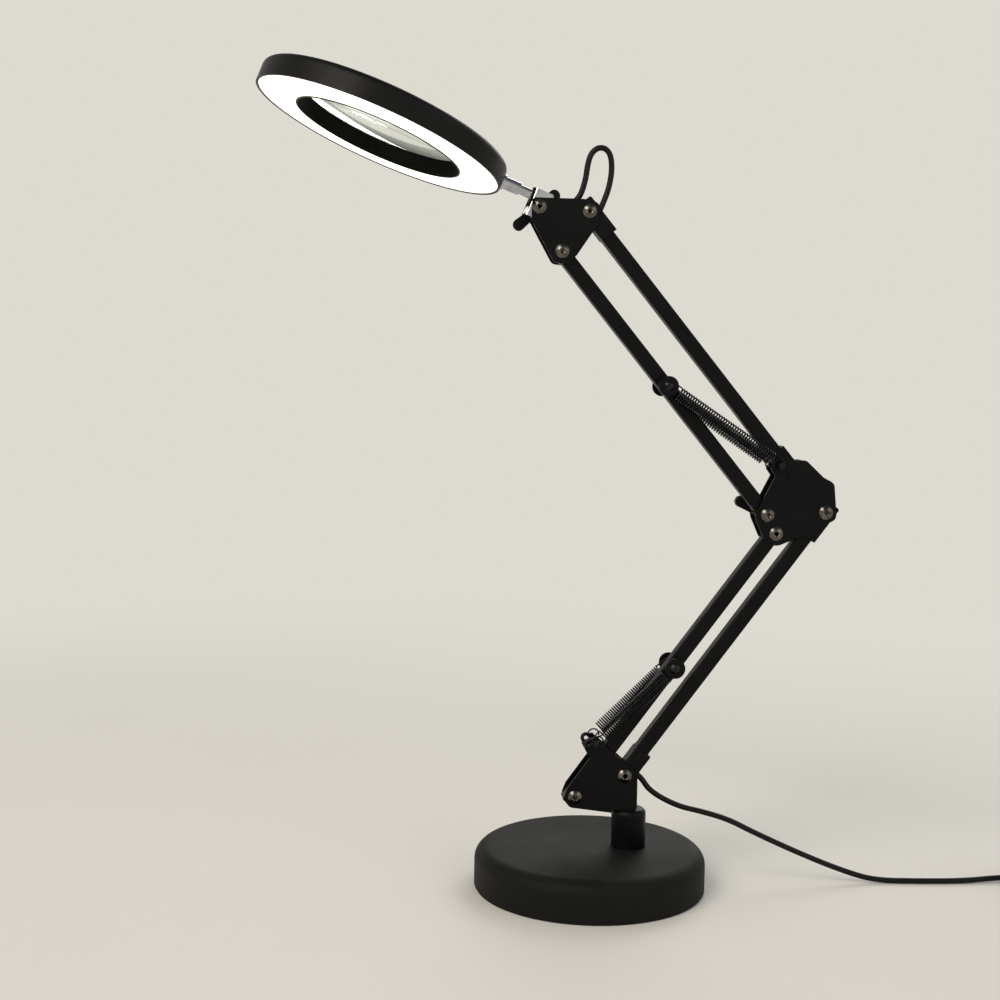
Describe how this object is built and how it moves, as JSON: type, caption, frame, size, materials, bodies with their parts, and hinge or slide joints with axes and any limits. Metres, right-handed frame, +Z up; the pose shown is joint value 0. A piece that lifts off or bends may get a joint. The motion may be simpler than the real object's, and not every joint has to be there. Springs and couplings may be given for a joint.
{
  "type": "magnifier lamp",
  "caption": "Desk magnifier lamp: weighted round base, spring-balanced parallelogram arm of black square tubes, and a ring-lit round lens on a tilting chrome neck.",
  "frame": {"origin": "centre of the base's underside, on the table", "axes": "+Z up; the arms lie in the XZ plane with the head on the -X side; +Y is the side of the wing knobs"},
  "size_m": [0.7098, 0.1775, 0.565],
  "materials": {
    "base_paint": "matte charcoal paint",
    "iron": "raw",
    "pad_rubber": "foam",
    "arm_paint": "satin black paint",
    "zinc": "zinc plated",
    "dark_steel": "black oxide",
    "nickel": "nickel plated",
    "spring_steel": "dark wire",
    "black_plastic": "matte",
    "neck_chrome": "polished",
    "housing_plastic": "fine matte",
    "diffuser_white": "opal",
    "board_white": "solder mask",
    "lens_glass": "polished",
    "cord_black": "soft PVC",
    "strap_black": "woven"
  },
  "bodies": {
    "base": {"base_cover": "base_paint", "base_weight": "iron", "base_plate": "base_paint", "base_pad": "pad_rubber", "post": "arm_paint", "post_bolt": "zinc", "cord_free": "cord_black", "cord_coil": "cord_black", "cord_tail": "cord_black", "cord_tie": "strap_black", "plug_grip": "black_plastic", "plug_shell": "zinc", "plug_tongue": "board_white"},
    "foot": {"foot_bracket": "arm_paint", "foot_spigot": "zinc", "foot_hooks": "dark_steel", "foot_bolts": "nickel", "foot_nuts": "nickel"},
    "lower_front": {"lower_front_tube": "arm_paint", "lower_front_sleeves": "arm_paint", "lower_spring_bolt": "dark_steel", "lower_spring_bolt_discs": "arm_paint", "lower_spring_near": "spring_steel", "lower_spring_far": "spring_steel"},
    "lower_rear": {"lower_rear_tube": "arm_paint", "lower_rear_sleeves": "arm_paint", "cord_exit": "cord_black"},
    "elbow": {"elbow_cheek_near": "arm_paint", "elbow_cheek_far": "arm_paint", "elbow_bolts": "nickel", "elbow_nuts": "nickel", "elbow_rivet": "arm_paint", "elbow_pegs": "dark_steel"},
    "elbow_knob": {"elbow_knob": "black_plastic"},
    "upper_lower": {"upper_lower_tube": "arm_paint", "upper_lower_sleeves": "arm_paint", "upper_spring_bolt": "dark_steel", "upper_spring_bolt_discs": "arm_paint", "upper_spring_near": "spring_steel", "upper_spring_far": "spring_steel"},
    "upper_upper": {"upper_upper_tube": "arm_paint", "upper_upper_sleeves": "arm_paint"},
    "head_bracket": {"head_cheek_near": "arm_paint", "head_cheek_far": "arm_paint", "head_bolts": "nickel", "head_nuts": "nickel", "cord_loop": "cord_black"},
    "head_knob": {"head_knob": "black_plastic"},
    "neck": {"neck_block": "neck_chrome"},
    "head": {"neck_stem": "neck_chrome", "stem_nut": "zinc", "head_housing": "housing_plastic", "diffuser": "diffuser_white", "led_board": "board_white", "lens": "lens_glass", "lens_keeper": "black_plastic"}
  },
  "joints": [
    {"name": "foot_swivel", "type": "hinge", "parent": "base", "child": "foot", "pos_m": [0.0275, 0, 0.056], "axis": [0, 0, 1], "range_deg": [-90, 90], "deforming": ["cord_free"]},
    {"name": "lower_arm", "type": "hinge", "parent": "foot", "child": "lower_front", "pos_m": [-0.01195, 0, 0.0654], "axis": [0, 1, 0], "range_deg": [-50, 9], "deforming": ["lower_spring_near", "lower_spring_far"]},
    {"name": "lower_rear_pivot", "type": "hinge", "parent": "foot", "child": "lower_rear", "pos_m": [0.02295, 0, 0.0804], "axis": [0, 1, 0], "range_deg": [-50, 9], "deforming": ["cord_exit"]},
    {"name": "elbow_level", "type": "hinge", "parent": "lower_front", "child": "elbow", "pos_m": [0.12582, 0, 0.25206], "axis": [0, 1, 0], "range_deg": [-9, 50]},
    {"name": "upper_arm", "type": "hinge", "parent": "elbow", "child": "upper_upper", "pos_m": [0.13786, 0, 0.29235], "axis": [0, 1, 0], "range_deg": [-50, 34]},
    {"name": "upper_lower_pivot", "type": "hinge", "parent": "elbow", "child": "upper_lower", "pos_m": [0.11952, 0, 0.26506], "axis": [0, 1, 0], "range_deg": [-50, 34], "deforming": ["upper_spring_near", "upper_spring_far"]},
    {"name": "head_level", "type": "hinge", "parent": "upper_upper", "child": "head_bracket", "pos_m": [-0.0094, 0, 0.47163], "axis": [0, 1, 0], "range_deg": [-34, 50], "deforming": ["cord_loop"]},
    {"name": "head_tilt", "type": "hinge", "parent": "head_bracket", "child": "neck", "pos_m": [-0.0437, 0, 0.47393], "axis": [0, 1, 0], "range_deg": [-35, 60]},
    {"name": "head_twist", "type": "hinge", "parent": "neck", "child": "head", "pos_m": [-0.04135, 0, 0.47977], "axis": [0.9278, 0, -0.373], "range_deg": [-90, 90]},
    {"name": "elbow_knob_turn", "type": "hinge", "parent": "elbow", "child": "elbow_knob", "pos_m": [0.11952, 0.014, 0.26506], "axis": [0, 1, 0], "range_deg": [-180, 180]},
    {"name": "head_knob_turn", "type": "hinge", "parent": "head_bracket", "child": "head_knob", "pos_m": [-0.0437, 0.014, 0.47393], "axis": [0, 1, 0], "range_deg": [-180, 180]}
  ],
  "couplings": [
    {"joint": "lower_rear_pivot", "follows": "lower_arm", "ratio": 1},
    {"joint": "elbow_level", "follows": "lower_arm", "ratio": -1},
    {"joint": "upper_lower_pivot", "follows": "upper_arm", "ratio": 1},
    {"joint": "head_level", "follows": "upper_arm", "ratio": -1}
  ]
}
